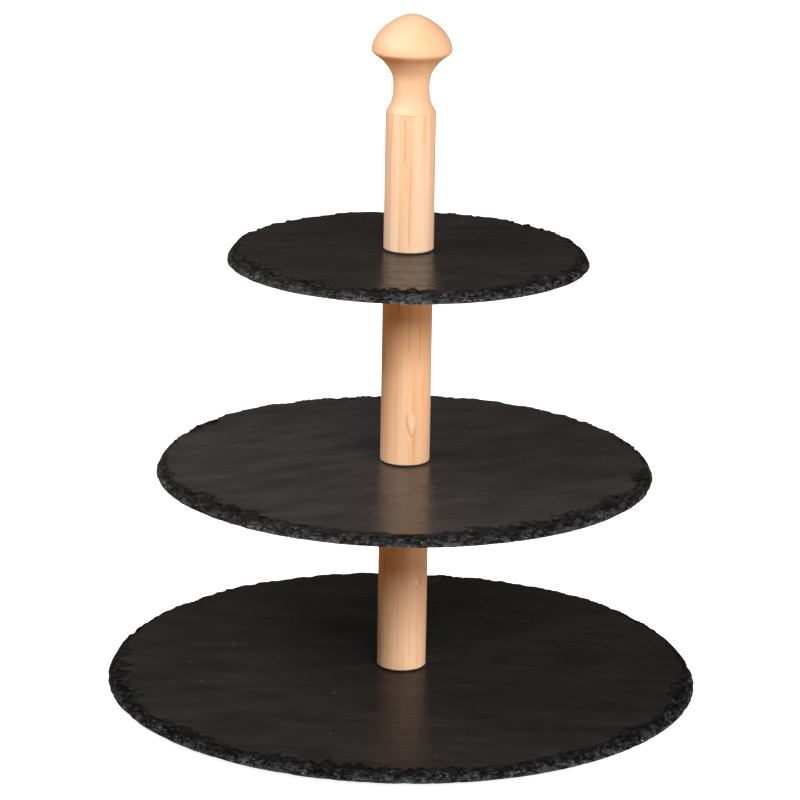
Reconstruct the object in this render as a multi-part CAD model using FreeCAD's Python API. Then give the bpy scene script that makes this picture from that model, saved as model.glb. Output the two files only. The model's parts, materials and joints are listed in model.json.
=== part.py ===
import FreeCAD, Part
import math
import os

# Three-tier serving stand: slate plates on bamboo posts that screw together, with a turned knob on top.
# Millimetres. +Z is up and the origin is on the table, under the middle of the stand.

# Slate plates
PLATE_DIAMETERS = {"base": 300.0, "middle": 250.0, "top": 180.0}
PLATE_THICKNESS = 5.5
PLATE_HOLE = 8.0
EDGE_BEVEL_WIDTH = 2.5   # the split edge slopes in towards the upper face
EDGE_BEVEL_HEIGHT = 4.0

# Bamboo posts
POST_DIAMETER = 25.0
POST_LENGTH = 103.0
HANDLE_POST_LENGTH = 69.0
POST_CHAMFER = 0.5

# Turned knob, as radius and height above the end of the handle post
NECK_RADIUS = 9.0
NECK_HEIGHT = 11.4
LIP_RADIUS = 13.9        # where the neck's hollow meets the flared underside
LIP_HEIGHT = 24.9
RIM_RADIUS = 20.0
RIM_HEIGHT = 29.9
DOME_SIDE_RADIUS = 18.0
DOME_SIDE_HEIGHT = 37.2
SHOULDER_RADIUS = 12.7   # where the dome's side turns into its crown
SHOULDER_HEIGHT = 43.0
KNOB_HEIGHT = 48.5
LOWER_COVE_SAG = 0.9     # how far each hollow arc stands in from the straight line between its ends
UPPER_COVE_SAG = 1.7

# Dowel that joins the knob to the handle post
DOWEL_DIAMETER = 8.0
DOWEL_LENGTH = 30.0
DOWEL_HOLE_DEPTH = 15.5  # in each piece
DOWEL_CHAMFER = 0.8

# M6 hardware
THREAD_RADIUS = 2.95
THREAD_BORE = 3.0        # radius of every M6 internal thread
THREAD_CHAMFER = 0.7
ENGAGEMENT = 12.0        # how far each screw reaches into its insert
STUD_IN_WOOD = 25.0
STUD_POINT = 5.0
PILOT_DEPTH = 26.0
INSERT_RADIUS = 5.0
INSERT_LENGTH = 15.0
INSERT_CHAMFER = 0.5
INSERT_HOLE_DEPTH = 18.0
INSERT_SLOT_WIDTH = 1.2  # screwdriver slot across the end of an insert
INSERT_SLOT_DEPTH = 1.5

# Flat-head connector bolt under the base
BOLT_HEAD_RADIUS = 8.5
BOLT_HEAD_HEIGHT = 1.8
BOLT_HEAD_BEVEL = 0.8
HEXAGON_SIDES = 6
HEX_KEY = 4.0
HEX_DEPTH = 2.8
STEEL_WASHER_RADIUS = 9.0
STEEL_WASHER_BORE = 3.2
STEEL_WASHER_THICKNESS = 0.8
PAD_RADIUS = 10.0
PAD_BORE = 3.2
PAD_THICKNESS = 0.8

# Rubber seat washers between wood and slate
SEAT_RADIUS = 12.0
SEAT_THICKNESS = 0.5
SEAT_GRIP_BORE = THREAD_BORE    # this one grips the screw and rides up with it
SEAT_CLEAR_BORE = 4.0           # this one is stuck to the top of a post

# Rubber feet
FOOT_HEIGHT = 4.0
FOOT_TOP_RADIUS = 7.5
FOOT_BOTTOM_RADIUS = 6.5
FOOT_ROUNDING = 0.8
FOOT_CIRCLE_RADIUS = 115.0
FOOT_PLACES = {"front_left": 225.0, "front_right": 315.0, "rear_right": 45.0, "rear_left": 135.0}

UP = FreeCAD.Vector(0, 0, 1)
AXIS_POINT = FreeCAD.Vector(0, 0, 0)
FULL_TURN = 360.0

# Heights of the stack, from the table up
BASE_PLATE_Z = FOOT_HEIGHT
LOWER_POST_Z = BASE_PLATE_Z + PLATE_THICKNESS + SEAT_THICKNESS
LOWER_POST_TOP = LOWER_POST_Z + POST_LENGTH
MIDDLE_PLATE_Z = LOWER_POST_TOP + SEAT_THICKNESS
MIDDLE_POST_Z = MIDDLE_PLATE_Z + PLATE_THICKNESS + SEAT_THICKNESS
MIDDLE_POST_TOP = MIDDLE_POST_Z + POST_LENGTH
TOP_PLATE_Z = MIDDLE_POST_TOP + SEAT_THICKNESS
HANDLE_Z = TOP_PLATE_Z + PLATE_THICKNESS + SEAT_THICKNESS
HANDLE_TOP = HANDLE_Z + HANDLE_POST_LENGTH
SCREW_REACH = SEAT_THICKNESS + PLATE_THICKNESS + SEAT_THICKNESS + ENGAGEMENT
BOLT_SEAT_Z = BASE_PLATE_Z - PAD_THICKNESS - STEEL_WASHER_THICKNESS
BOLT_TIP_Z = LOWER_POST_Z + ENGAGEMENT


def at_height(shape, z):
    moved = shape.copy()
    moved.translate(FreeCAD.Vector(0, 0, z))
    return moved


def cylinder(radius, height, z=0.0):
    return Part.makeCylinder(radius, height, FreeCAD.Vector(0, 0, z), UP)


def profile_point(radius, height):
    return FreeCAD.Vector(radius, 0, height)


def turned(edges):
    """Turn a closed outline of edges in the XZ plane about the Z axis."""
    face = Part.Face(Part.Wire(edges))
    return face.revolve(AXIS_POINT, UP, FULL_TURN)


def turned_polygon(points):
    corners = [profile_point(radius, height) for radius, height in points]
    corners.append(corners[0])
    return turned(Part.makePolygon(corners).Edges)


def hollow_edge(start, end, sag):
    """An arc from start up to end that bows sag in towards the axis from the straight line."""
    chord = end.sub(start)
    inwards = FreeCAD.Vector(-chord.z, 0, chord.x).normalize()
    middle = start.add(end).multiply(0.5).add(inwards.multiply(sag))
    return Part.Arc(start, middle, end).toShape()


def smooth_edge(points):
    curve = Part.BSplineCurve()
    curve.interpolate(points)
    return curve.toShape()


def ring(outer_radius, bore_radius, thickness):
    return cylinder(outer_radius, thickness).cut(cylinder(bore_radius, thickness))


def slate_plate(diameter):
    radius = diameter / 2
    land = PLATE_THICKNESS - EDGE_BEVEL_HEIGHT
    return turned_polygon([
        (PLATE_HOLE / 2, 0),
        (radius, 0),
        (radius, land),
        (radius - EDGE_BEVEL_WIDTH, PLATE_THICKNESS),
        (PLATE_HOLE / 2, PLATE_THICKNESS),
    ])


def plain_post(length):
    radius = POST_DIAMETER / 2
    return turned_polygon([
        (0, 0),
        (radius - POST_CHAMFER, 0),
        (radius, POST_CHAMFER),
        (radius, length - POST_CHAMFER),
        (radius - POST_CHAMFER, length),
        (0, length),
    ])


def lower_post():
    """Post with a threaded insert in each end."""
    post = plain_post(POST_LENGTH)
    post = post.cut(cylinder(INSERT_RADIUS, INSERT_HOLE_DEPTH))
    return post.cut(cylinder(INSERT_RADIUS, INSERT_HOLE_DEPTH, POST_LENGTH - INSERT_HOLE_DEPTH))


def middle_post():
    """Post with a stud in its lower end and a threaded insert in its upper end."""
    post = plain_post(POST_LENGTH)
    post = post.cut(cylinder(THREAD_RADIUS, PILOT_DEPTH))
    return post.cut(cylinder(INSERT_RADIUS, INSERT_HOLE_DEPTH, POST_LENGTH - INSERT_HOLE_DEPTH))


def handle_post():
    """Short post with a stud in its lower end and the knob's dowel in its upper end."""
    radius = POST_DIAMETER / 2
    post = turned_polygon([
        (0, 0),
        (radius - POST_CHAMFER, 0),
        (radius, POST_CHAMFER),
        (radius, HANDLE_POST_LENGTH),
        (0, HANDLE_POST_LENGTH),
    ])
    post = post.cut(cylinder(THREAD_RADIUS, PILOT_DEPTH))
    return post.cut(cylinder(DOWEL_DIAMETER / 2, DOWEL_HOLE_DEPTH, HANDLE_POST_LENGTH - DOWEL_HOLE_DEPTH))


def handle_knob():
    """Mushroom knob on a hollowed neck."""
    centre = profile_point(0, 0)
    foot = profile_point(POST_DIAMETER / 2, 0)
    neck = profile_point(NECK_RADIUS, NECK_HEIGHT)
    lip = profile_point(LIP_RADIUS, LIP_HEIGHT)
    rim = profile_point(RIM_RADIUS, RIM_HEIGHT)
    side = profile_point(DOME_SIDE_RADIUS, DOME_SIDE_HEIGHT)
    shoulder = profile_point(SHOULDER_RADIUS, SHOULDER_HEIGHT)
    crest = profile_point(0, KNOB_HEIGHT)
    knob = turned([
        Part.LineSegment(centre, foot).toShape(),
        hollow_edge(foot, neck, LOWER_COVE_SAG),
        hollow_edge(neck, lip, UPPER_COVE_SAG),
        Part.LineSegment(lip, rim).toShape(),
        smooth_edge([rim, side, shoulder, crest]),
        Part.LineSegment(crest, centre).toShape(),
    ])
    return knob.cut(cylinder(DOWEL_DIAMETER / 2, DOWEL_HOLE_DEPTH))


def knob_dowel():
    radius = DOWEL_DIAMETER / 2
    return turned_polygon([
        (0, 0),
        (radius - DOWEL_CHAMFER, 0),
        (radius, DOWEL_CHAMFER),
        (radius, DOWEL_LENGTH - DOWEL_CHAMFER),
        (radius - DOWEL_CHAMFER, DOWEL_LENGTH),
        (0, DOWEL_LENGTH),
    ])


def threaded_insert():
    """Brass insert with a screwdriver slot across its upper end."""
    sleeve = turned_polygon([
        (THREAD_BORE, 0),
        (INSERT_RADIUS - INSERT_CHAMFER, 0),
        (INSERT_RADIUS, INSERT_CHAMFER),
        (INSERT_RADIUS, INSERT_LENGTH),
        (THREAD_BORE, INSERT_LENGTH),
    ])
    slot_length = 2 * INSERT_RADIUS
    slot = Part.makeBox(slot_length, INSERT_SLOT_WIDTH, INSERT_SLOT_DEPTH)
    slot.translate(FreeCAD.Vector(-INSERT_RADIUS, -INSERT_SLOT_WIDTH / 2, INSERT_LENGTH - INSERT_SLOT_DEPTH))
    return sleeve.cut(slot)


def downward_insert():
    """The same insert with its slot at the lower end, resting on z = 0."""
    insert = threaded_insert()
    insert.rotate(AXIS_POINT, FreeCAD.Vector(1, 0, 0), FULL_TURN / 2)
    return at_height(insert, INSERT_LENGTH)


def hanger_stud():
    """Stud with its machine thread below z = 0 and its wood thread above."""
    shoulder = STUD_IN_WOOD - STUD_POINT
    return turned_polygon([
        (0, -SCREW_REACH),
        (THREAD_RADIUS - THREAD_CHAMFER, -SCREW_REACH),
        (THREAD_RADIUS, THREAD_CHAMFER - SCREW_REACH),
        (THREAD_RADIUS, shoulder),
        (0, STUD_IN_WOOD),
    ])


def base_bolt():
    """Flat-head bolt from under the base, in place, with a hexagon socket in its head."""
    head_z = BOLT_SEAT_Z - BOLT_HEAD_HEIGHT
    bolt = turned_polygon([
        (0, head_z),
        (BOLT_HEAD_RADIUS - BOLT_HEAD_BEVEL, head_z),
        (BOLT_HEAD_RADIUS, head_z + BOLT_HEAD_BEVEL),
        (BOLT_HEAD_RADIUS, BOLT_SEAT_Z),
        (THREAD_RADIUS, BOLT_SEAT_Z),
        (THREAD_RADIUS, BOLT_TIP_Z - THREAD_CHAMFER),
        (THREAD_RADIUS - THREAD_CHAMFER, BOLT_TIP_Z),
        (0, BOLT_TIP_Z),
    ])
    corner_radius = HEX_KEY / math.sqrt(3)
    corners = []
    for corner in range(HEXAGON_SIDES):
        angle = 2 * math.pi * corner / HEXAGON_SIDES
        corners.append(FreeCAD.Vector(corner_radius * math.cos(angle), corner_radius * math.sin(angle), head_z))
    corners.append(corners[0])
    socket = Part.Face(Part.makePolygon(corners)).extrude(FreeCAD.Vector(0, 0, HEX_DEPTH))
    return bolt.cut(socket)


def rubber_foot(angle_degrees):
    foot = Part.makeCone(FOOT_BOTTOM_RADIUS, FOOT_TOP_RADIUS, FOOT_HEIGHT)
    lower_edges = [edge for edge in foot.Edges if edge.BoundBox.ZMax < FOOT_ROUNDING / 2]
    foot = foot.makeFillet(FOOT_ROUNDING, lower_edges)
    angle = math.radians(angle_degrees)
    x = FOOT_CIRCLE_RADIUS * math.cos(angle)
    y = FOOT_CIRCLE_RADIUS * math.sin(angle)
    foot.translate(FreeCAD.Vector(x, y, 0))
    return foot


def plates():
    heights = {"base": BASE_PLATE_Z, "middle": MIDDLE_PLATE_Z, "top": TOP_PLATE_Z}
    return {tier + "_plate": at_height(slate_plate(PLATE_DIAMETERS[tier]), z) for tier, z in heights.items()}


def wooden_pieces():
    return {
        "lower_post": at_height(lower_post(), LOWER_POST_Z),
        "middle_post": at_height(middle_post(), MIDDLE_POST_Z),
        "handle_post": at_height(handle_post(), HANDLE_Z),
        "handle_knob": at_height(handle_knob(), HANDLE_TOP),
        "knob_dowel": at_height(knob_dowel(), HANDLE_TOP - DOWEL_LENGTH / 2),
    }


def metal_pieces():
    steel_washer = ring(STEEL_WASHER_RADIUS, STEEL_WASHER_BORE, STEEL_WASHER_THICKNESS)
    return {
        "base_bolt": base_bolt(),
        "base_bolt_washer": at_height(steel_washer, BOLT_SEAT_Z),
        "lower_post_bottom_insert": at_height(downward_insert(), LOWER_POST_Z),
        "lower_post_top_insert": at_height(threaded_insert(), LOWER_POST_TOP - INSERT_LENGTH),
        "middle_post_top_insert": at_height(threaded_insert(), MIDDLE_POST_TOP - INSERT_LENGTH),
        "middle_post_stud": at_height(hanger_stud(), MIDDLE_POST_Z),
        "handle_stud": at_height(hanger_stud(), HANDLE_Z),
    }


def rubber_pieces():
    gripping_seat = ring(SEAT_RADIUS, SEAT_GRIP_BORE, SEAT_THICKNESS)
    fixed_seat = ring(SEAT_RADIUS, SEAT_CLEAR_BORE, SEAT_THICKNESS)
    pieces = {
        "base_bolt_pad": at_height(ring(PAD_RADIUS, PAD_BORE, PAD_THICKNESS), BASE_PLATE_Z - PAD_THICKNESS),
        "lower_post_bottom_washer": at_height(gripping_seat, LOWER_POST_Z - SEAT_THICKNESS),
        "lower_post_top_washer": at_height(fixed_seat, LOWER_POST_TOP),
        "middle_post_bottom_washer": at_height(gripping_seat, MIDDLE_POST_Z - SEAT_THICKNESS),
        "middle_post_top_washer": at_height(fixed_seat, MIDDLE_POST_TOP),
        "handle_bottom_washer": at_height(gripping_seat, HANDLE_Z - SEAT_THICKNESS),
    }
    for place, angle in FOOT_PLACES.items():
        pieces["foot_" + place] = rubber_foot(angle)
    return pieces


def main():
    os.makedirs("parts", exist_ok=True)
    for group in (plates(), wooden_pieces(), metal_pieces(), rubber_pieces()):
        for name, shape in group.items():
            shape.exportStep(os.path.join("parts", name + ".step"))
            print(name, "valid", shape.isValid(), "solids", len(shape.Solids), "mm3", round(shape.Volume, 1))


main()
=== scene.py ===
import json
import math
import random

import bpy
import numpy as np
from mathutils import Matrix, Vector, noise


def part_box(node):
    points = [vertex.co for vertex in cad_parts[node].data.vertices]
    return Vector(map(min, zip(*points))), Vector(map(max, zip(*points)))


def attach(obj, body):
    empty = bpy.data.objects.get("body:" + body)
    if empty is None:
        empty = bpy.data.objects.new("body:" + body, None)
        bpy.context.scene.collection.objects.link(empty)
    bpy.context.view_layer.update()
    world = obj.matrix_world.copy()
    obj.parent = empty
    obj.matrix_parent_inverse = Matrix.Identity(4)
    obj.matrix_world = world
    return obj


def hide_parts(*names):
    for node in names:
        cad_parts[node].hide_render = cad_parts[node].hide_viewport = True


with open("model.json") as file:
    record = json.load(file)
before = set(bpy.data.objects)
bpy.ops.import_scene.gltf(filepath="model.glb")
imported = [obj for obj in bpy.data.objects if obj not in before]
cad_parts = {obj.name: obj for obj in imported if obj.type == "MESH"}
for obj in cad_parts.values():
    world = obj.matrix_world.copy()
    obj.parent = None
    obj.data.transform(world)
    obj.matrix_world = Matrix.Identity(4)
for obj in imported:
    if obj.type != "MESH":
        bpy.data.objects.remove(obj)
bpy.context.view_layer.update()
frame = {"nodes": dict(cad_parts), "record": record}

# Three-tier serving stand of split slate on bamboo posts. Metres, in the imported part's frame, Z up.

MM = 0.001
IMAGE_WIDTH = 800

# Camera, from the stand's axis
CAMERA_DISTANCE = 1.700
CAMERA_HEIGHT = 0.6333
CAMERA_YAW = math.radians(-0.098)
CAMERA_PITCH = math.radians(15.858)
CAMERA_ROLL = math.radians(1.0)
CAMERA_FOCUS_PIXELS = 3509.7
SENSOR_WIDTH_MM = 36.0

# Slate plates. Ripples are the low waves of the split face: their strength, and how far they turn from X.
# Tone scales how light the face is: painted light, the same slate made lighter on the middle plate and
# darker on the top one. Gloss is how much it mirrors.
PLATES = {
    "base_plate": {
        "body": "base", "seed": 11, "ripple": 0.8, "ripple_turn": 5, "tone": 1.00, "gloss": 0.12,
    },
    "middle_plate": {
        "body": "middle_plate", "seed": 23, "ripple": 0.3, "ripple_turn": -24, "tone": 1.75, "gloss": 0.38,
    },
    "top_plate": {
        "body": "top_plate", "seed": 37, "ripple": 4.0, "ripple_turn": 0, "tone": 0.90, "gloss": 0.42,
    },
}
# A lamina is one split layer of the chipped edge; the lowest sticks out furthest
LAMINAE = 8
THIN_LAMINAE = 3                     # the topmost ones, which flake off in patches
LAMINA_ROWS = (0.08, 0.5, 0.92)      # heights of a lamina's rows of points, as shares of its own height
RIM_SEGMENT = 0.52 * MM
FACE_SEGMENT_RATIO = 3               # rim segments to one segment of the faces inside them
FACE_RING_STEP = 6.5 * MM
UNDERSIDE_RINGS = (0.0, 0.3, 0.6, 0.85, 0.97)   # shares of the way from the hole out to the edge
EDGE_SLOPE = 3.4 * MM
# Chips knocked out of the edge: how far apart along it, half widths, height to width, depths,
# and how light the freshest of them are
CHIPS = (
    (7.0 * MM, (3.0 * MM, 7.0 * MM), (0.35, 0.60), (0.5 * MM, 1.8 * MM), 0.25),
    (1.2 * MM, (1.0 * MM, 2.8 * MM), (0.25, 0.60), (0.20 * MM, 0.95 * MM), 0.60),
    (0.4 * MM, (0.4 * MM, 1.0 * MM), (0.35, 0.80), (0.06 * MM, 0.35 * MM), 1.00),
)
SCALLOP = 3.6 * MM                   # bites along the upper rim
SCALLOP_WIDTH = 7.0 * MM
PROUD = 0.5 * MM                     # the unchipped edge stands this far outside the mean radius
FLAKE_REACH = 8.0 * MM
FLAKE_FADE = 18.0 * MM               # flaking on the upper face dies out this far in from the rim
FLAKE_LAYER = 0.42 * MM
WEAR = 0.10 * MM                     # rounding of each lamina towards its top
SPLINTER = 0.09 * MM
LEAST_STEP = 0.03 * MM               # each lamina stands in from the one below it by at least this
RIM_ROUNDING = 0.3 * MM
RIM_WIDTH = 0.5 * MM
FACE_MARGIN = 1.5 * MM               # from the rim in to the first coarse ring of the face
PLATE_HOLE_RADIUS = 4.0 * MM
UNDULATION = 0.10 * MM
LONG_WAVES = (22, 60)                # waves in a metre along X and Y
SHORT_WAVES = (60, 240)
EDGE_ROUGHNESS = 0.05 * MM

# Screws
THREAD_PITCH = 1.0 * MM
THREAD_DEPTH = 0.5 * MM
WOOD_THREAD_PITCH = 2.5 * MM
WOOD_THREAD_DEPTH = 0.7 * MM
THREAD_ROW_STEP = 0.125 * MM
STUD_POINT = 5.0 * MM
HEX_KEY = 4.0 * MM
HEX_DEPTH = 2.8 * MM

# Turned knob: radius and height above its foot, in mm, up the hollowed neck and over the dome
KNOB_NECK = ((12.5, 0.2), (11.2, 2.6), (9.85, 5.5), (9.0, 11.4), (9.85, 18.7), (13.9, 24.9), (18.9, 29.0))
KNOB_DOME = (
    (19.5, 29.55), (19.95, 30.4), (19.95, 31.6), (19.4, 34.2), (17.9, 37.4), (15.6, 40.5),
    (12.7, 43.1), (9.2, 45.5), (5.4, 47.4), (2.4, 48.3), (0.4, 48.5),
)
KNOB_BORE_SPARE = 0.5 * MM
KNOB_FOOT_BEVEL = 0.2 * MM
TURNED_TIP = 0.3 * MM                # radius of the small flat that closes a turned solid's end
KNOB_SEGMENTS = 128

# Washers, pad and feet
GRIP_BORE = 3.0 * MM
CLEAR_BORE = 4.0 * MM
STEEL_BORE = 3.2 * MM
THIN_ROUNDING = 0.12 * MM
THICK_ROUNDING = 0.15 * MM
FOOT_ROUNDING = 0.8 * MM
FOOT_TAPER = 1.0 * MM
FOOT_DIMPLE = ((1.2, 0.75), (2.2, 0.62), (2.9, 0.3), (3.2, 0.06), (3.6, 0.0))   # radius and height, in mm


# ---------------------------------------------------------------- meshes

def mesh_object(name, points, faces, sharp_angle=35.0):
    mesh = bpy.data.meshes.new(name)
    mesh.from_pydata(points, [], faces)
    mesh.validate()
    mesh.shade_smooth()
    mesh.set_sharp_from_angle(angle=math.radians(sharp_angle))
    piece = bpy.data.objects.new(name, mesh)
    bpy.context.scene.collection.objects.link(piece)
    return piece


def ring_points(radius, height, segments, centre=(0.0, 0.0)):
    """Points round one ring; radius and height are numbers, or arrays with one value a segment."""
    angles = np.arange(segments) * 2 * math.pi / segments
    radii = np.broadcast_to(radius, segments)
    heights = np.broadcast_to(height, segments)
    xs = centre[0] + radii * np.cos(angles)
    ys = centre[1] + radii * np.sin(angles)
    return list(zip(xs.tolist(), ys.tolist(), heights.tolist()))


def band_faces(outer_start, outer_count, inner_start, inner_count):
    """Faces between two rings; the first may have a whole number of times as many points."""
    ratio = outer_count // inner_count
    faces = []
    for i in range(inner_count):
        outer = [outer_start + (i * ratio + k) % outer_count for k in range(ratio + 1)]
        faces.append(tuple(outer) + (inner_start + (i + 1) % inner_count, inner_start + i))
    return faces


def turned_piece(name, node, rows, segments, closed=False, centre=(0.0, 0.0), sharp_angle=35.0):
    """A solid of rings (radius, height) from its lower end up, which stands in for a CAD node."""
    points = []
    faces = []
    for radius, height in rows:
        points.extend(ring_points(radius, height, segments, centre))
    for row in range(len(rows) - 1):
        faces.extend(band_faces(row * segments, segments, (row + 1) * segments, segments))
    last = (len(rows) - 1) * segments
    if closed:
        faces.extend(band_faces(last, segments, 0, segments))
    else:
        faces.append(tuple(reversed(range(segments))))
        faces.append(tuple(range(last, last + segments)))
    piece = mesh_object(name, points, faces, sharp_angle)
    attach(piece, body_of(node))
    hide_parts(node)
    return piece


def body_of(node):
    for body, nodes in frame["record"]["behaviour"]["bodies"].items():
        if node in nodes:
            return body
    raise ValueError(node)


# ---------------------------------------------------------------- slate plates

def round_noise(segments, scale, seed):
    """Smooth noise from -1 to 1 round a ring, with about scale waves in each radian."""
    angles = np.arange(segments) * 2 * math.pi / segments
    return np.array([noise.noise(Vector((scale * math.cos(a), scale * math.sin(a), seed))) for a in angles])


def chipped(radius, thickness, segments, heights, seed):
    """Depth of the scooped chips at each height and segment of the edge, and how fresh each scoop is."""
    chooser = random.Random(seed)
    girth = 2 * math.pi * radius
    along = np.arange(segments) * girth / segments
    depth = np.zeros((len(heights), segments))
    fresh = np.full((len(heights), segments), 0.10)
    for spacing, half_widths, proportions, depths, freshest in CHIPS:
        for _ in range(int(girth / spacing)):
            middle = chooser.uniform(0, girth)
            level = chooser.uniform(-0.1, 1.15) * thickness
            half_width = chooser.uniform(*half_widths)
            half_height = half_width * chooser.uniform(*proportions)
            deepest = chooser.uniform(*depths)
            lightness = freshest * chooser.random() ** 1.5
            offset = (along - middle + girth / 2) % girth - girth / 2
            near = np.flatnonzero(np.abs(offset) < half_width)
            across = (offset[near] / half_width) ** 2
            up = ((heights - level) / half_height) ** 2
            scoop = deepest * (1 - across[None, :] - up[:, None])
            old = depth[:, near]
            deeper = scoop > old
            depth[:, near] = np.where(deeper, scoop, old)
            fresh[:, near] = np.where(deeper, lightness, fresh[:, near])
    return depth, fresh


def lamina_heights(thickness, seed):
    chooser = random.Random(seed + 100)
    thick = LAMINAE - THIN_LAMINAE
    gaps = [chooser.uniform(0.7, 1.3) for _ in range(thick)]
    scale = (thickness - THIN_LAMINAE * FLAKE_LAYER) / sum(gaps)
    heights = [0.0]
    for gap in [scale * gap for gap in gaps] + [FLAKE_LAYER] * THIN_LAMINAE:
        heights.append(heights[-1] + gap)
    return heights


def flake_patches(segments, seed):
    """Where round the rim the top layers have flaked away, from 0 to 1."""
    return np.clip(round_noise(segments, 3.4, seed + 9.7) * 2.6 + 0.25, 0, 1)


def rim_rows(radius, thickness, segments, seed):
    """Rows of (radii, heights, edge, fresh) up the chipped edge, from the lower face to the upper; fresh
    also carries painted shade towards the top.
    """
    levels = lamina_heights(thickness, seed)
    row_heights = []
    for low, high in zip(levels, levels[1:]):
        rise = high - low
        row_heights += [low + share * rise for share in LAMINA_ROWS]
    row_heights = np.array(row_heights)
    depth, fresh = chipped(radius, thickness, segments, row_heights, seed)
    broad = round_noise(segments, 3.0, seed + 0.5)
    patch = flake_patches(segments, seed)
    flat = np.ones(segments)
    each = len(LAMINA_ROWS)
    rows = []
    for row, height in enumerate(row_heights):
        layer = row // each
        share = height / thickness
        own = each * layer + 1
        lip = 0.35 + 0.65 * min(1.0, share / 0.4)
        cut = lip * (0.45 * depth[row] + 0.55 * depth[own])
        worn = WEAR * (1 + round_noise(segments, 60.0, seed + layer)) * (row % each) / 2
        slope = EDGE_SLOPE * share ** 1.3 * (1 + 0.45 * broad)
        radii = radius + PROUD - slope - cut - worn
        radii = radii + SPLINTER * round_noise(segments, 160.0, seed + 3.1 * layer)
        thin = layer - (LAMINAE - THIN_LAMINAE) + 1
        if thin >= 0:
            bites = np.abs(round_noise(segments, radius / SCALLOP_WIDTH, seed + 2.2 + 0.35 * thin))
            radii = radii - SCALLOP * (0.4 + 0.2 * thin) * bites
        if thin > 0:
            ragged = 0.45 + 0.4 * round_noise(segments, 34.0, seed + 5.3 + thin)
            ragged = ragged + 0.3 * round_noise(segments, 110.0, seed + 7.9 + thin)
            ragged = 0.5 + 2.2 * (ragged - 0.5)
            radii = radii - FLAKE_REACH * (thin / THIN_LAMINAE) * patch * np.clip(ragged, 0, 1)
        if rows and row % each == 0:
            radii = np.minimum(radii, rows[-1][0] - LEAST_STEP)
        # Painted shade: lightness falls towards the top of the edge, over the chips' own freshness
        light = (0.25 + fresh[row]) * (1.1 - share)
        rows.append((radii, height * flat, 1.0 if thin <= 0 else 0.8, light))
    return [(rows[0][0] - RIM_WIDTH, 0 * flat, 0.3, 0.2 * flat)] + rows


def surface_lift(x, y, seed):
    """Height of the split face over its flat plane: long low waves, drawn out along X."""
    wave = noise.noise(Vector((x * LONG_WAVES[0], y * LONG_WAVES[1], seed)))
    fine = noise.noise(Vector((x * SHORT_WAVES[0], y * SHORT_WAVES[1], seed + 4.0)))
    return UNDULATION * (wave + 0.35 * fine)


def slate_plate(name, spec):
    low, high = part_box(name)
    radius = (high.x - low.x) / 2
    thickness = high.z - low.z
    seed = spec["seed"]
    coarse = int(2 * math.pi * radius / RIM_SEGMENT / FACE_SEGMENT_RATIO)
    segments = coarse * FACE_SEGMENT_RATIO
    rim = rim_rows(radius, thickness, segments, seed)
    shaker = np.random.default_rng(seed)
    bare = np.zeros(segments)

    rings = []
    reach = rim[0][0][::FACE_SEGMENT_RATIO] - PLATE_HOLE_RADIUS
    for share in UNDERSIDE_RINGS:
        rings.append((PLATE_HOLE_RADIUS + share * reach, np.zeros(coarse), 0.0, np.zeros(coarse)))
    for radii, heights, edge, fresh in rim:
        shake = shaker.normal(0, 1, (2, segments)) * EDGE_ROUGHNESS * (edge > 0.5)
        heights = np.clip(heights + 0.5 * shake[1], 0, thickness)
        rings.append((radii - np.abs(shake[0]), heights, edge, fresh))
    top = rim[-1][0] - RIM_ROUNDING
    rings.append((top, thickness + bare, 0.4, bare))
    rings.append((top - RIM_WIDTH, thickness + bare, 0.0, bare))
    inner = top[::FACE_SEGMENT_RATIO] - FACE_MARGIN
    steps = int(radius / FACE_RING_STEP)
    for step in range(steps + 1):
        radii = inner + step / steps * (PLATE_HOLE_RADIUS - inner)
        rings.append((radii, thickness + np.zeros(coarse), 0.0, np.zeros(coarse)))

    patch = flake_patches(segments, seed)
    points = []
    edges = []
    fresh_and_shaded = []
    flaking = []
    starts = []
    for radii, heights, edge, fresh in rings:
        starts.append((len(points), len(radii)))
        for x, y, z in ring_points(radii, heights, len(radii)):
            lift = surface_lift(x, y, seed) - 0.5 * UNDULATION if z >= thickness - 1e-9 else 0.0
            points.append((x, y, low.z + z + lift))
        edges.extend([edge] * len(radii))
        fresh_and_shaded.extend(fresh)
        inward = np.clip((radius - radii) / FLAKE_FADE, 0, 1)
        upper = np.clip(np.max(heights) / thickness, 0, 1)
        flaking.extend(upper * (1 - inward) * patch[::segments // len(radii)])
    faces = []
    for (start, count), (next_start, next_count) in zip(starts, starts[1:] + starts[:1]):
        if count >= next_count:
            faces.extend(band_faces(start, count, next_start, next_count))
        else:
            faces.extend(tuple(reversed(face)) for face in band_faces(next_start, next_count, start, count))
    piece = mesh_object("slate_" + name, points, faces, 32.0)
    # The fresh attribute carries painted shade as well as the chips' freshness
    for attribute, values in (("edge", edges), ("fresh", fresh_and_shaded), ("flaking", flaking)):
        layer = piece.data.attributes.new(attribute, "FLOAT", "POINT")
        layer.data.foreach_set("value", np.array(values, dtype=np.float32))
    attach(piece, spec["body"])
    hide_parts(name)
    return piece


# ---------------------------------------------------------------- hardware

def thread_rows(start, end, crest, depth, pitch, segments, start_taper=0.0, end_taper=0.0):
    """Rings of a screw thread, flat at crest and root, that runs out to its root over each taper."""
    angles = np.arange(segments) / segments
    rows = []
    count = round((end - start) / THREAD_ROW_STEP)
    for step in range(count + 1):
        height = start + (end - start) * step / count
        ridge = np.abs(2 * ((height / pitch - angles) % 1.0) - 1)
        radius = crest - depth * np.clip(1.25 * ridge - 0.1, 0, 1)
        for distance, taper in ((height - start, start_taper), (end - height, end_taper)):
            if taper > 0 and distance < taper:
                radius = np.minimum(radius, crest - depth * 1.3 * (1 - distance / taper))
        rows.append((radius, height))
    return rows


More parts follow.
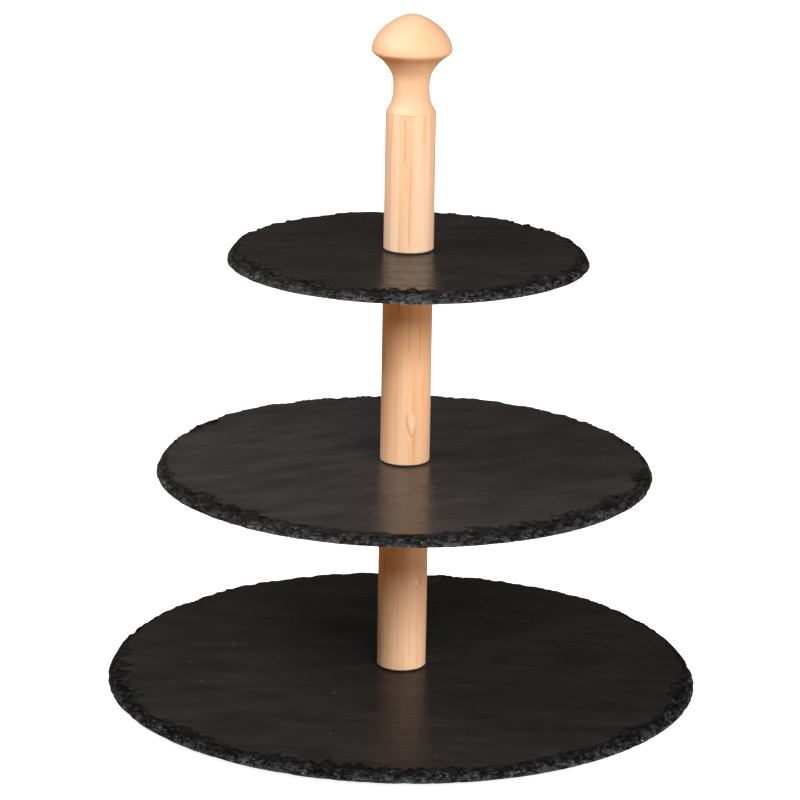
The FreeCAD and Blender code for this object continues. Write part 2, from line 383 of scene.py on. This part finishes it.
def hanger_stud(node, shoulder):
    """Machine thread below the shoulder, coarse wood thread and a point above it."""
    low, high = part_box(node)
    crest = (high.x - low.x) / 2
    segments = 64
    machine_end = shoulder - 0.6 * MM
    wood_start = shoulder + 0.8 * MM
    rows = thread_rows(low.z, machine_end, crest, THREAD_DEPTH, THREAD_PITCH, segments, 0.8 * MM, 0.3 * MM)
    rows += [(crest, shoulder - 0.4 * MM), (crest, shoulder + 0.6 * MM)]
    wood = thread_rows(wood_start, high.z, crest, WOOD_THREAD_DEPTH, WOOD_THREAD_PITCH, segments, 1.0 * MM)
    for radius, height in wood:
        to_tip = min(1.0, (high.z - height) / STUD_POINT)
        rows.append((np.maximum(radius * to_tip ** 0.8, 0.12 * MM), height))
    return turned_piece(node + "_threaded", node, rows, segments)


def base_bolt():
    """Flat-head bolt with a hexagon socket in its head, seen from below, and a machine thread."""
    low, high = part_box("base_bolt")
    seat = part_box("base_bolt_washer")[0].z
    head = (high.x - low.x) / 2
    bore = (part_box("middle_post_stud")[1].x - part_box("middle_post_stud")[0].x) / 2
    segments = 72
    angles = np.arange(segments) * 2 * math.pi / segments
    hexagon = HEX_KEY / 2 / np.cos(angles % (math.pi / 3) - math.pi / 6)
    rows = [
        (TURNED_TIP, low.z + HEX_DEPTH + 0.5 * MM),
        (HEX_KEY * 0.46, low.z + HEX_DEPTH),
        (hexagon, low.z + HEX_DEPTH),
        (hexagon, low.z + 0.25 * MM),
        (hexagon + 0.2 * MM, low.z),
        (head - 1.2 * MM, low.z),
        (head - 0.7 * MM, low.z + 0.08 * MM),
        (head - 0.15 * MM, low.z + 0.55 * MM),
        (head, low.z + 0.85 * MM),
        (head, seat - 0.12 * MM),
        (head - 0.12 * MM, seat),
        (bore + 0.1 * MM, seat),
    ]
    start = seat + 0.2 * MM
    rows += thread_rows(start, high.z, bore, THREAD_DEPTH, THREAD_PITCH, segments, 0.3 * MM, 0.9 * MM)
    return turned_piece("base_bolt_threaded", "base_bolt", rows, segments, sharp_angle=28.0)


def smooth_line(points, steps=6):
    """Catmull-Rom curve through (radius, height) points, with its end tangents along the end spans."""
    points = [np.array(point) for point in points]
    padded = [2 * points[0] - points[1]] + points + [2 * points[-1] - points[-2]]
    line = []
    for i in range(len(points) - 1):
        before, start, end, after = padded[i:i + 4]
        for step in range(steps):
            t = step / steps
            curve = 2 * start + (end - before) * t + (2 * before - 5 * start + 4 * end - after) * t ** 2
            line.append(tuple(0.5 * (curve + (3 * start - before - 3 * end + after) * t ** 3)))
    return line + [tuple(points[-1])]


def rounded_knob():
    """Turned knob with an eased rim, bored from below for its dowel."""
    low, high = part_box("handle_knob")
    dowel_low, dowel_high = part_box("knob_dowel")
    bore = (dowel_high.x - dowel_low.x) / 2
    end = dowel_high.z - low.z + KNOB_BORE_SPARE
    scale = (high.z - low.z) / (KNOB_DOME[-1][1] * MM)
    rows = [(TURNED_TIP, end), (bore, end), (bore, 0), (KNOB_NECK[0][0] * MM - KNOB_FOOT_BEVEL, 0)]
    for profile in (KNOB_NECK, KNOB_DOME):
        rows += [(radius * MM, height * MM * scale) for radius, height in smooth_line(profile)]
    rows = [(radius, low.z + height) for radius, height in rows]
    return turned_piece("handle_knob_rounded", "handle_knob", rows, KNOB_SEGMENTS)


def flat_ring(node, bore_radius, rounding):
    """Washer or pad with softened edges."""
    low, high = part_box(node)
    outer = (high.x - low.x) / 2
    rows = [
        (bore_radius, low.z + rounding),
        (bore_radius + rounding, low.z),
        (outer - rounding, low.z),
        (outer - 0.3 * rounding, low.z + 0.3 * rounding),
        (outer, low.z + rounding),
        (outer, high.z - rounding),
        (outer - 0.3 * rounding, high.z - 0.3 * rounding),
        (outer - rounding, high.z),
        (bore_radius + rounding, high.z),
        (bore_radius, high.z - rounding),
    ]
    return turned_piece(node + "_rounded", node, rows, 96, closed=True)


def rubber_foot(node):
    """Tapered bumper foot with a shallow dimple underneath."""
    low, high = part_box(node)
    centre = ((low.x + high.x) / 2, (low.y + high.y) / 2)
    top = (high.x - low.x) / 2
    rows = [(radius * MM, height * MM) for radius, height in FOOT_DIMPLE]
    corner = top - FOOT_TAPER - 0.6 * MM
    steps = 6
    for step in range(steps + 1):
        angle = math.pi / 2 * step / steps
        rows.append((corner + FOOT_ROUNDING * math.sin(angle), FOOT_ROUNDING * (1 - math.cos(angle))))
    rows += [(top - 0.15 * MM, high.z - 0.35 * MM), (top, high.z - 0.15 * MM), (top - 0.15 * MM, high.z)]
    return turned_piece(node + "_dimpled", node, rows, 64, centre=centre)


# ---------------------------------------------------------------- materials

def add_node(tree, kind, inputs=None, **settings):
    node = tree.nodes.new(kind)
    for key, value in settings.items():
        setattr(node, key, value)
    for key, value in (inputs or {}).items():
        if isinstance(value, bpy.types.NodeSocket):
            tree.links.new(value, node.inputs[key])
        else:
            node.inputs[key].default_value = value
    return node


def math_node(tree, operation, *values):
    return add_node(tree, "ShaderNodeMath", dict(enumerate(values)), operation=operation).outputs[0]


def total(tree, *values):
    result = values[0]
    for value in values[1:]:
        result = math_node(tree, "ADD", result, value)
    return result


def times(tree, *values):
    result = values[0]
    for value in values[1:]:
        result = math_node(tree, "MULTIPLY", result, value)
    return result


def mix(tree, kind, share, first, second):
    node = add_node(tree, "ShaderNodeMix", data_type=kind)
    for name, value in (("Factor", share), ("A", first), ("B", second)):
        socket = [s for s in node.inputs if s.name == name and s.enabled][0]
        if isinstance(value, bpy.types.NodeSocket):
            tree.links.new(value, socket)
        else:
            socket.default_value = value
    return [s for s in node.outputs if s.enabled][0]


def mix_colour(tree, share, first, second):
    return mix(tree, "RGBA", share, first, second)


def noise_at(tree, place, scale, stretch=(1, 1, 1), detail=3.0, rough=0.55, distortion=0.0):
    mapped = add_node(tree, "ShaderNodeMapping", {"Vector": place, "Scale": stretch}).outputs[0]
    return add_node(tree, "ShaderNodeTexNoise", {
        "Vector": mapped, "Scale": scale, "Detail": detail, "Roughness": rough, "Distortion": distortion,
    }).outputs["Fac"]


def remap(tree, value, from_low, from_high, to_low=0.0, to_high=1.0):
    return add_node(tree, "ShaderNodeMapRange", {
        "Value": value, "From Min": from_low, "From Max": from_high, "To Min": to_low, "To Max": to_high,
    }, clamp=True).outputs[0]


def rotated(tree, place, degrees):
    turn = (0, 0, math.radians(degrees))
    return add_node(tree, "ShaderNodeMapping", {"Vector": place, "Rotation": turn}).outputs[0]


def random_cell(tree, place):
    """A random value from 0 to 1 that is the same all over one cell."""
    node = add_node(tree, "ShaderNodeTexWhiteNoise", {"Vector": place}, noise_dimensions="3D")
    return node.outputs["Value"]


def new_material(name):
    material = bpy.data.materials.new(name)
    material.use_nodes = True
    tree = material.node_tree
    shader = tree.nodes["Principled BSDF"]
    place = add_node(tree, "ShaderNodeTexCoord").outputs["Object"]
    return material, tree, shader, place


def bump(tree, shader, height):
    node = add_node(tree, "ShaderNodeBump", {"Height": height, "Distance": 1.0, "Strength": 1.0})
    tree.links.new(node.outputs[0], shader.inputs["Normal"])


EDGE_DARK = (0.0046, 0.0050, 0.0054, 1)
EDGE_LIGHT = (0.086, 0.092, 0.100, 1)
# Painted shade for the gaps between layers, and a painted glint colour
EDGE_PAINTED_SHADE = (0.002, 0.002, 0.002, 1)
EDGE_PAINTED_GLINT = (0.25, 0.25, 0.25, 1)
# Levels of slate_grey
FACE_DARK = 0.0130
FACE_LIGHT = 0.0215
SPECK = 0.16
BARE_LAYER = 0.040
FLAKE_LIP = 0.06
# Relief of the face, then of the edge
RIPPLE_HEIGHT = 0.16 * MM
STEP_HEIGHT = 0.02 * MM
WAVE_HEIGHT = 0.10 * MM
GRAIN_HEIGHT = 0.012 * MM
FLAKE_DEPTH = 0.40 * MM
CHIP_HEIGHT = 0.50 * MM
FACET_HEIGHT = 0.90 * MM
STRATA_HEIGHT = 0.60 * MM


def slate_grey(level):
    return (1.16 * level, level, 0.96 * level, 1)


def slate_material(name, ripple, ripple_turn, tone, gloss):
    material, tree, shader, place = new_material("split_slate_" + name)
    edge = add_node(tree, "ShaderNodeAttribute", attribute_name="edge").outputs["Fac"]
    fresh = add_node(tree, "ShaderNodeAttribute", attribute_name="fresh").outputs["Fac"]
    flaking = add_node(tree, "ShaderNodeAttribute", attribute_name="flaking").outputs["Fac"]
    grain_way = rotated(tree, place, ripple_turn)

    # Face: long ripples, low steps where layers end, fine grain, and patches flaked off near the rim
    ripples = noise_at(tree, grain_way, 1.0, (26, 330, 60), detail=4.0, rough=0.6, distortion=0.4)
    waves = noise_at(tree, grain_way, 1.0, (14, 40, 30), detail=2.0)
    grain = noise_at(tree, place, 1400.0, detail=4.0, rough=0.7)
    terrace = times(tree, noise_at(tree, grain_way, 1.0, (16, 48, 20), detail=3.0, rough=0.62), 7.0)
    step = total(tree, math_node(tree, "FLOOR", terrace),
                 math_node(tree, "POWER", math_node(tree, "FRACT", terrace), 14.0))
    layers = noise_at(tree, place, 1.0, (48, 190, 70), detail=6.0, rough=0.66)
    layers = total(tree, layers, times(tree, flaking, 0.30))
    flaked = remap(tree, layers, 0.690, 0.705)
    deeper = remap(tree, layers, 0.770, 0.785)
    lips = times(tree, remap(tree, layers, 0.675, 0.690), remap(tree, layers, 0.705, 0.725, 1.0, 0.0))
    face_height = total(tree, times(tree, ripples, RIPPLE_HEIGHT * ripple), times(tree, step, STEP_HEIGHT),
                        times(tree, waves, WAVE_HEIGHT), times(tree, grain, GRAIN_HEIGHT),
                        times(tree, flaked, -FLAKE_DEPTH), times(tree, deeper, -FLAKE_DEPTH))
    layered = add_node(tree, "ShaderNodeMapping", {"Vector": place, "Scale": (1, 1, 2.0)}).outputs[0]
    facets = add_node(tree, "ShaderNodeTexVoronoi", {"Vector": layered, "Scale": 360.0, "Randomness": 1.0})
    strata = noise_at(tree, place, 1.0, (110, 110, 900), detail=4.0, rough=0.6)
    chips = noise_at(tree, place, 620.0, (1, 1, 2.0), detail=5.0, rough=0.7)
    edge_height = total(tree, times(tree, chips, CHIP_HEIGHT),
                        times(tree, facets.outputs["Distance"], FACET_HEIGHT),
                        times(tree, strata, STRATA_HEIGHT))
    bump(tree, shader, mix(tree, "FLOAT", edge, face_height, edge_height))

    blotch = noise_at(tree, grain_way, 1.0, (30, 90, 40), detail=5.0, rough=0.6)
    # The face's tone is scaled per plate: painted light
    face_colour = mix_colour(tree, remap(tree, blotch, 0.35, 0.7),
                             slate_grey(FACE_DARK * tone), slate_grey(FACE_LIGHT * tone))
    cells = add_node(tree, "ShaderNodeTexVoronoi", {"Vector": place, "Scale": 170.0, "Randomness": 1.0})
    speck_size = remap(tree, cells.outputs["Distance"], 0.045, 0.085, 1.0, 0.0)
    picked = random_cell(tree, cells.outputs["Position"])
    speck = times(tree, speck_size, math_node(tree, "GREATER_THAN", picked, 0.93))
    face_colour = mix_colour(tree, speck, face_colour, slate_grey(SPECK))
    shreds = noise_at(tree, place, 1.0, (230, 900, 260), detail=4.0, rough=0.7)
    bare_layer = mix_colour(tree, remap(tree, shreds, 0.48, 0.72), EDGE_DARK, slate_grey(BARE_LAYER))
    face_colour = mix_colour(tree, times(tree, flaked, 0.9), face_colour, bare_layer)
    lip_strength = times(tree, lips, remap(tree, shreds, 0.45, 0.6))
    face_colour = mix_colour(tree, lip_strength, face_colour, slate_grey(FLAKE_LIP))

    # Chipped edge: facets of differing tone, lighter where fresh and darker towards the top (painted shade),
    # painted black shade in the gaps between layers, and painted glints
    pick = random_cell(tree, facets.outputs["Position"])
    crushed = noise_at(tree, place, 480.0, (1, 1, 1.8), detail=5.0, rough=0.7)
    broken = total(tree, times(tree, pick, 0.20), times(tree, crushed, 0.85), times(tree, fresh, 0.46))
    edge_colour = mix_colour(tree, remap(tree, broken, 0.58, 1.05), EDGE_DARK, EDGE_LIGHT)
    # Painted shade: near black in the gaps between layers
    gaps = remap(tree, total(tree, strata, times(tree, fresh, 0.20)), 0.40, 0.52, 0.9, 0.0)
    edge_colour = mix_colour(tree, gaps, edge_colour, EDGE_PAINTED_SHADE)
    # Painted glints: light specks that stand in for sparkle
    painted_glint = total(tree, noise_at(tree, place, 1100.0, detail=2.0, rough=0.6), times(tree, fresh, 0.12))
    edge_colour = mix_colour(tree, remap(tree, painted_glint, 0.70, 0.76), edge_colour, EDGE_PAINTED_GLINT)
    tree.links.new(mix_colour(tree, edge, face_colour, edge_colour), shader.inputs["Base Color"])

    satin = remap(tree, noise_at(tree, grain_way, 60.0, (0.5, 2.0, 1.0), detail=4.0), 0.3, 0.7, 0.20, 0.30)
    rough = mix(tree, "FLOAT", flaked, satin, 0.6)
    tree.links.new(mix(tree, "FLOAT", edge, rough, 0.75), shader.inputs["Roughness"])
    shader.inputs["IOR"].default_value = 1.52
    shader.inputs["Specular IOR Level"].default_value = 0.5 * gloss
    shader.inputs["Specular Tint"].default_value = (1.0, 0.82, 0.68, 1)
    return material


def upright_streak(tree, axes, across, from_z, to_z, half_width, drift=0.0):
    """Strength from 0 to 1 of one thin line along the grain, tapering at both its ends."""
    along = remap(tree, axes.outputs["Z"], from_z, to_z)
    centre = total(tree, across, times(tree, along, drift))
    offset = math_node(tree, "ABSOLUTE", math_node(tree, "SUBTRACT", axes.outputs["X"], centre))
    body = remap(tree, offset, 0.3 * half_width, half_width, 1.0, 0.0)
    from_middle = math_node(tree, "ABSOLUTE", math_node(tree, "SUBTRACT", along, 0.5))
    ends = remap(tree, from_middle, 0.36, 0.5, 1.0, 0.0)
    facing = math_node(tree, "LESS_THAN", axes.outputs["Y"], 0.0)
    return times(tree, body, ends, facing)


def knot_shape(tree, axes, knot):
    """Distance from a teardrop-shaped knot's middle, in its own half sizes, and the way aside and up."""
    from_x = math_node(tree, "SUBTRACT", axes.outputs["X"], knot["x"])
    aside = math_node(tree, "DIVIDE", from_x, knot["half_width"])
    from_z = math_node(tree, "SUBTRACT", axes.outputs["Z"], knot["z"])
    up = math_node(tree, "DIVIDE", from_z, knot["half_height"])
    waist = total(tree, 1.0, times(tree, up, 0.35))
    narrowed = math_node(tree, "DIVIDE", aside, math_node(tree, "MAXIMUM", waist, 0.2))
    reach = math_node(tree, "SQRT", total(tree, times(tree, narrowed, narrowed), times(tree, up, up)))
    back = times(tree, math_node(tree, "GREATER_THAN", axes.outputs["Y"], 0.0), 9.0)
    return total(tree, reach, back), aside, up


def bend_round_knot(tree, axes, knot):
    """Grain coordinates that spread round a knot."""
    reach, aside, _ = knot_shape(tree, axes, knot)
    pull = math_node(tree, "EXPONENT", times(tree, reach, reach, -0.5))
    shift = times(tree, aside, pull, -0.6 * knot["half_width"])
    return add_node(tree, "ShaderNodeCombineXYZ", {
        "X": total(tree, axes.outputs["X"], shift), "Y": axes.outputs["Y"], "Z": axes.outputs["Z"],
    }).outputs[0]


def darker(colour, share):
    return tuple(share * channel for channel in colour[:3]) + (1,)


def fibre_shade(colour):
    """Darker and warmer tone of the same wood."""
    red, green, blue = colour[:3]
    return (0.66 * red, 0.50 * green, 0.38 * blue, 1)


STRIP_LAYER = 9.0 * MM
FIBRE_HEIGHT = 0.03 * MM
MARK_DEPTH = 0.05 * MM
SEAM_DEPTH = 0.04 * MM


def wood_material(name, turn_degrees, strip_width, colours, streaks=(), knot=None, contrast=1.0, seams=0.16):
    """Laminated bamboo: upright strips of differing tone, streaks and fibres along the grain, and a knot."""
    material, tree, shader, place = new_material(name)
    pale, deep, rosy = colours
    turned = rotated(tree, place, turn_degrees)
    axes = add_node(tree, "ShaderNodeSeparateXYZ", {"Vector": turned})
    grain = bend_round_knot(tree, axes, knot) if knot else turned
    grain_axes = add_node(tree, "ShaderNodeSeparateXYZ", {"Vector": grain})

    wander = noise_at(tree, grain, 1.0, (110, 0, 3.0), detail=2.0)
    strips = math_node(tree, "DIVIDE", grain_axes.outputs["X"], strip_width)
    across = total(tree, strips, times(tree, wander, 1.3))
    layer = math_node(tree, "FLOOR", math_node(tree, "DIVIDE", grain_axes.outputs["Y"], STRIP_LAYER))
    key = add_node(tree, "ShaderNodeCombineXYZ", {
        "X": math_node(tree, "FLOOR", across), "Y": layer, "Z": 0.37 * turn_degrees,
    })
    strip = random_cell(tree, key.outputs[0])

    bands = noise_at(tree, grain, 1.0, (240, 240, 7), detail=2.0)
    fine = noise_at(tree, grain, 1.0, (1000, 1000, 16), detail=3.0, rough=0.6)
    blush = noise_at(tree, grain, 1.0, (150, 150, 8), detail=2.0)
    tone = total(tree, times(tree, strip, 0.34), times(tree, bands, 0.60), times(tree, fine, 0.40))
    colour = mix_colour(tree, remap(tree, tone, 0.42, 0.92, 0.0, contrast), pale, deep)
    colour = mix_colour(tree, remap(tree, blush, 0.42, 0.62, 0.0, 0.9), colour, rosy)

    dashes = remap(tree, noise_at(tree, grain, 1.0, (1300, 1300, 30), detail=2.0, rough=0.6), 0.56, 0.74)
    where = remap(tree, noise_at(tree, grain, 1.0, (130, 130, 14), detail=1.0), 0.44, 0.62)
    marks = times(tree, dashes, where, 0.55 * contrast)
    colour = mix_colour(tree, marks, colour, fibre_shade(deep))
    seam = math_node(tree, "FRACT", across)
    seam = math_node(tree, "MINIMUM", seam, math_node(tree, "SUBTRACT", 1.0, seam))
    seam = remap(tree, seam, 0.0, 0.05, seams, 0.0)
    colour = mix_colour(tree, seam, colour, fibre_shade(deep))

    for streak in streaks:
        shade = upright_streak(tree, grain_axes, *streak["line"])
        colour = mix_colour(tree, times(tree, shade, streak["strength"]), colour, streak["colour"])
    if knot:
        reach, aside, up = knot_shape(tree, axes, knot)
        heart = remap(tree, reach, 0.45, 1.25, 0.85, 0.0)
        colour = mix_colour(tree, heart, colour, pale)
        from_rim = math_node(tree, "ABSOLUTE", math_node(tree, "SUBTRACT", reach, 1.1))
        rim = remap(tree, from_rim, 0.0, 0.45, 1.0, 0.0)
        leaning = total(tree, times(tree, aside, knot["lean"]), times(tree, up, 0.6))
        corner = remap(tree, leaning, -1.2, 0.0, 0.70, 0.0)
        colour = mix_colour(tree, times(tree, rim, corner), colour, fibre_shade(deep))

    tree.links.new(colour, shader.inputs["Base Color"])
    tree.links.new(remap(tree, fine, 0.3, 0.7, 0.46, 0.58), shader.inputs["Roughness"])
    bump(tree, shader, total(tree, times(tree, fine, FIBRE_HEIGHT), times(tree, marks, -MARK_DEPTH),
                             times(tree, seam, -SEAM_DEPTH)))
    shader.inputs["IOR"].default_value = 1.42
    return material


def rubber_material(name, shade):
    material, tree, shader, place = new_material(name)
    dust = noise_at(tree, place, 500.0, detail=5.0, rough=0.7)
    light = darker(shade, 1.9)
    tree.links.new(mix_colour(tree, remap(tree, dust, 0.4, 0.75), shade, light), shader.inputs["Base Color"])
    tree.links.new(remap(tree, dust, 0.3, 0.7, 0.7, 0.9), shader.inputs["Roughness"])
    bump(tree, shader, times(tree, noise_at(tree, place, 2500.0, detail=3.0), 0.00004))
    return material


def metal_material(name, colour, rough_low, rough_high, metallic):
    material, tree, shader, place = new_material(name)
    brushed = noise_at(tree, place, 1.0, (900, 900, 9000), detail=3.0, rough=0.6)
    blotch = noise_at(tree, place, 260.0, detail=4.0)
    tree.links.new(mix_colour(tree, remap(tree, blotch, 0.35, 0.7), colour, darker(colour, 0.72)),
                   shader.inputs["Base Color"])
    tree.links.new(remap(tree, brushed, 0.3, 0.7, rough_low, rough_high), shader.inputs["Roughness"])
    bump(tree, shader, times(tree, brushed, 0.00001))
    shader.inputs["Metallic"].default_value = metallic
    return material


def paint(node_or_piece, material):
    piece = frame["nodes"][node_or_piece] if isinstance(node_or_piece, str) else node_or_piece
    piece.data.materials.clear()
    piece.data.materials.append(material)


# ---------------------------------------------------------------- stage

FLOOR_GLOW = 0.92
FLOOR_REACH = 6.0
WALL_HEIGHT = 6.0
CURVE_STEPS = 12
HORIZON = (-0.06, 0.02)              # upward part of the ray's direction, from BOUNCE to SKY
LIGHT_AIM_HEIGHT = 0.17
BOUNCE = (0.66, 0.36, 0.14, 1)       # warm light that comes up from below the horizon
SKY = (0.035, 0.033, 0.032, 1)

# Softboxes: bearing from the front towards the right, elevation, distance, size, power, and whether
# glossy surfaces mirror them
SOFTBOXES = {
    "key": (20, 28.5, 1.7, (1.5, 0.48), 35.0, False),
    "high_left": (-62, 45, 1.0, (0.7, 0.40), 8.6, True),
    "right_low": (72, 8, 1.7, (1.0, 0.50), 7.5, False),
    "rear_top": (170, 66, 2.2, (1.2, 1.2), 4.0, True),
    "back": (184, 12, 2.0, (2.0, 0.80), 16.0, False),
}


def add_floor():
    """Pale floor that sweeps up all round into a wall. It glows evenly and only the camera sees it."""
    segments = 96
    rows = [(FLOOR_REACH, 0.0)]
    for step in range(1, CURVE_STEPS + 1):
        angle = math.pi / 2 * step / CURVE_STEPS
        rows.append((FLOOR_REACH + math.sin(angle), 1 - math.cos(angle)))
    rows.append((FLOOR_REACH + 1, WALL_HEIGHT))
    points = []
    faces = [tuple(range(segments))]
    for radius, height in rows:
        points.extend(ring_points(radius, height, segments))
    for row in range(len(rows) - 1):
        faces.extend(band_faces((row + 1) * segments, segments, row * segments, segments))
    floor = mesh_object("floor", points, faces)
    material, _, shader, _ = new_material("pale_floor")
    shader.inputs["Base Color"].default_value = (0.9, 0.9, 0.9, 1)
    shader.inputs["Roughness"].default_value = 0.9
    shader.inputs["Specular IOR Level"].default_value = 0.0
    shader.inputs["Emission Color"].default_value = (1, 1, 1, 1)
    shader.inputs["Emission Strength"].default_value = FLOOR_GLOW
    floor.data.materials.append(material)
    floor.visible_diffuse = False
    floor.visible_glossy = False
    floor.visible_shadow = False


def add_softbox(name, bearing, elevation, distance, size, power, mirrored):
    middle = Vector((0, 0, LIGHT_AIM_HEIGHT))
    flat = math.cos(math.radians(elevation))
    way = Vector((math.sin(math.radians(bearing)) * flat, -math.cos(math.radians(bearing)) * flat,
                  math.sin(math.radians(elevation))))
    data = bpy.data.lights.new(name, "AREA")
    data.shape = "RECTANGLE"
    data.size, data.size_y = size
    data.energy = power
    light = bpy.data.objects.new(name, data)
    light.location = middle + distance * way
    light.rotation_euler = (-way).to_track_quat("-Z", "Y").to_euler()
    light.visible_glossy = mirrored
    bpy.context.scene.collection.objects.link(light)


def add_lights():
    for name, settings in SOFTBOXES.items():
        add_softbox(name, *settings)
    world = bpy.data.worlds.new("studio")
    world.use_nodes = True
    tree = world.node_tree
    direction = add_node(tree, "ShaderNodeTexCoord").outputs["Generated"]
    up = add_node(tree, "ShaderNodeSeparateXYZ", {"Vector": direction}).outputs["Z"]
    glow = mix_colour(tree, remap(tree, up, *HORIZON), BOUNCE, SKY)
    tree.links.new(glow, tree.nodes["Background"].inputs["Color"])
    bpy.context.scene.world = world
    bpy.context.scene.view_settings.view_transform = "Standard"


def add_camera():
    data = bpy.data.cameras.new("camera")
    data.sensor_width = SENSOR_WIDTH_MM
    data.lens = CAMERA_FOCUS_PIXELS / IMAGE_WIDTH * SENSOR_WIDTH_MM
    data.clip_end = 50
    camera = bpy.data.objects.new("camera", data)
    level = Matrix.Rotation(-CAMERA_YAW, 4, "Z") @ Matrix.Rotation(math.pi / 2 - CAMERA_PITCH, 4, "X")
    rolled = level @ Matrix.Rotation(CAMERA_ROLL, 4, "Z")
    camera.matrix_world = Matrix.Translation((0, -CAMERA_DISTANCE, CAMERA_HEIGHT)) @ rolled
    bpy.context.scene.collection.objects.link(camera)
    bpy.context.scene.camera = camera


# ---------------------------------------------------------------- assembly

PEACH = (0.85, 0.560, 0.360, 1)
TAN = (0.73, 0.405, 0.205, 1)
ROSY = (0.80, 0.465, 0.275, 1)
# Knob tones are darker copies of the post wood: painted shade against the stronger light on the knob
SHADED_CREAM = (0.67, 0.430, 0.275, 1)
SHADED_HONEY = (0.64, 0.400, 0.235, 1)
SHADED_BLUSH = (0.67, 0.410, 0.255, 1)
ORANGE = (0.76, 0.37, 0.15, 1)
BROWN = (0.42, 0.20, 0.09, 1)


def streak(across_mm, from_mm, to_mm, half_width_mm, strength, colour=BROWN, drift_mm=0.0):
    line = tuple(MM * value for value in (across_mm, from_mm, to_mm, half_width_mm, drift_mm))
    return {"line": line, "strength": strength, "colour": colour}


def post_colours_for_light(red, green, blue):
    """The three tones of a post's wood, each channel scaled: painted light, lit and shaded copies of one
    bamboo.
    """
    return [(red * r, green * g, blue * b, 1) for r, g, b, _ in (PEACH, TAN, ROSY)]


def paint_wood():
    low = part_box("handle_post")[0].z / MM
    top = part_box("handle_post")[1].z / MM
    # The handle's wood is paler and less orange: painted light
    paint("handle_post", wood_material("bamboo_handle", 3, 0.0070, post_colours_for_light(0.91, 1.00, 1.12), [
        streak(-2.0, top - 26, top + 1, 0.45, 0.60),
        streak(0.6, low, top - 18, 0.45, 0.45, drift_mm=0.6),
        streak(-8.6, top - 20, top + 1, 0.35, 0.40),
        streak(7.4, top - 16, top + 2, 1.5, 0.60, ORANGE),
    ]))
    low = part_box("middle_post")[0].z / MM
    knot = {
        "x": 2.0 * MM, "z": (low + 22) * MM, "half_width": 2.1 * MM, "half_height": 5.4 * MM, "lean": 1.0,
    }
    paint("middle_post", wood_material("bamboo_middle", -6, 0.0060, post_colours_for_light(1.0, 1.0, 1.0), [
        streak(-5.9, low - 1, low + 60, 0.9, 0.30, ORANGE),
        streak(0.2, low - 1, low + 14, 0.8, 0.35, ORANGE),
        streak(1.2, low - 1, low + 12, 0.3, 0.40),
        streak(-10.2, low - 1, low + 55, 0.9, 0.45, ORANGE),
        streak(0.3, low + 24, low + 31, 0.35, 0.70, PEACH),
        streak(-5.6, low + 78, low + 90, 0.45, 0.75),
        streak(5.4, low + 52, low + 74, 0.40, 0.45),
        streak(0.0, low + 58, low + 84, 0.7, 0.30),
    ], knot))
    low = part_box("lower_post")[0].z / MM
    knot = {
        "x": 7.9 * MM, "z": (low + 47) * MM, "half_width": 1.3 * MM, "half_height": 2.4 * MM, "lean": -1.0,
    }
    # The lower post's wood is lighter: painted light
    paint("lower_post", wood_material("bamboo_lower", 4, 0.0066, post_colours_for_light(1.10, 1.12, 1.14), [
        streak(-1.2, low - 1, low + 48, 0.30, 0.35),
        streak(-6.0, low - 1, low + 34, 1.6, 0.35, ORANGE),
        streak(4.6, low + 4, low + 30, 0.30, 0.25),
        streak(-8.4, low + 40, low + 62, 0.5, 0.40),
        streak(0.8, low + 44, low + 70, 1.2, 0.30, ORANGE),
    ], knot))
    knob_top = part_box("handle_knob")[1].z / MM
    knob = wood_material("bamboo_knob", 22, 0.0170, (SHADED_CREAM, SHADED_HONEY, SHADED_BLUSH), [
        streak(12.0, knob_top - 16, knob_top, 5.0, 0.35, ORANGE),
    ], contrast=0.5, seams=0.0)
    paint(rounded_knob(), knob)
    paint("knob_dowel", knob)


def main():
    for name, spec in PLATES.items():
        look = [spec[key] for key in ("ripple", "ripple_turn", "tone", "gloss")]
        paint(slate_plate(name, spec), slate_material(name, *look))
    paint_wood()

    steel = metal_material("zinc_plated_steel", (0.66, 0.66, 0.65, 1), 0.25, 0.42, 0.55)
    paint(base_bolt(), steel)
    paint(flat_ring("base_bolt_washer", STEEL_BORE, THICK_ROUNDING), steel)
    for node, post in (("middle_post_stud", "middle_post"), ("handle_stud", "handle_post")):
        paint(hanger_stud(node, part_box(post)[0].z), steel)
    brass = metal_material("brass", (0.75, 0.56, 0.26, 1), 0.22, 0.38, 0.70)
    for name in ("lower_post_bottom_insert", "lower_post_top_insert", "middle_post_top_insert"):
        paint(name, brass)

    black_rubber = rubber_material("black_rubber", (0.016, 0.015, 0.015, 1))
    for node in ("lower_post_bottom_washer", "middle_post_bottom_washer", "handle_bottom_washer"):
        paint(flat_ring(node, GRIP_BORE, THIN_ROUNDING), black_rubber)
    for node in ("lower_post_top_washer", "middle_post_top_washer"):
        paint(flat_ring(node, CLEAR_BORE, THIN_ROUNDING), black_rubber)
    paint(flat_ring("base_bolt_pad", STEEL_BORE, THICK_ROUNDING), black_rubber)
    foot_rubber = rubber_material("foot_rubber", (0.020, 0.020, 0.020, 1))
    for node in [name for name in frame["nodes"] if name.startswith("foot_")]:
        paint(rubber_foot(node), foot_rubber)

    add_floor()
    add_lights()
    add_camera()


main()
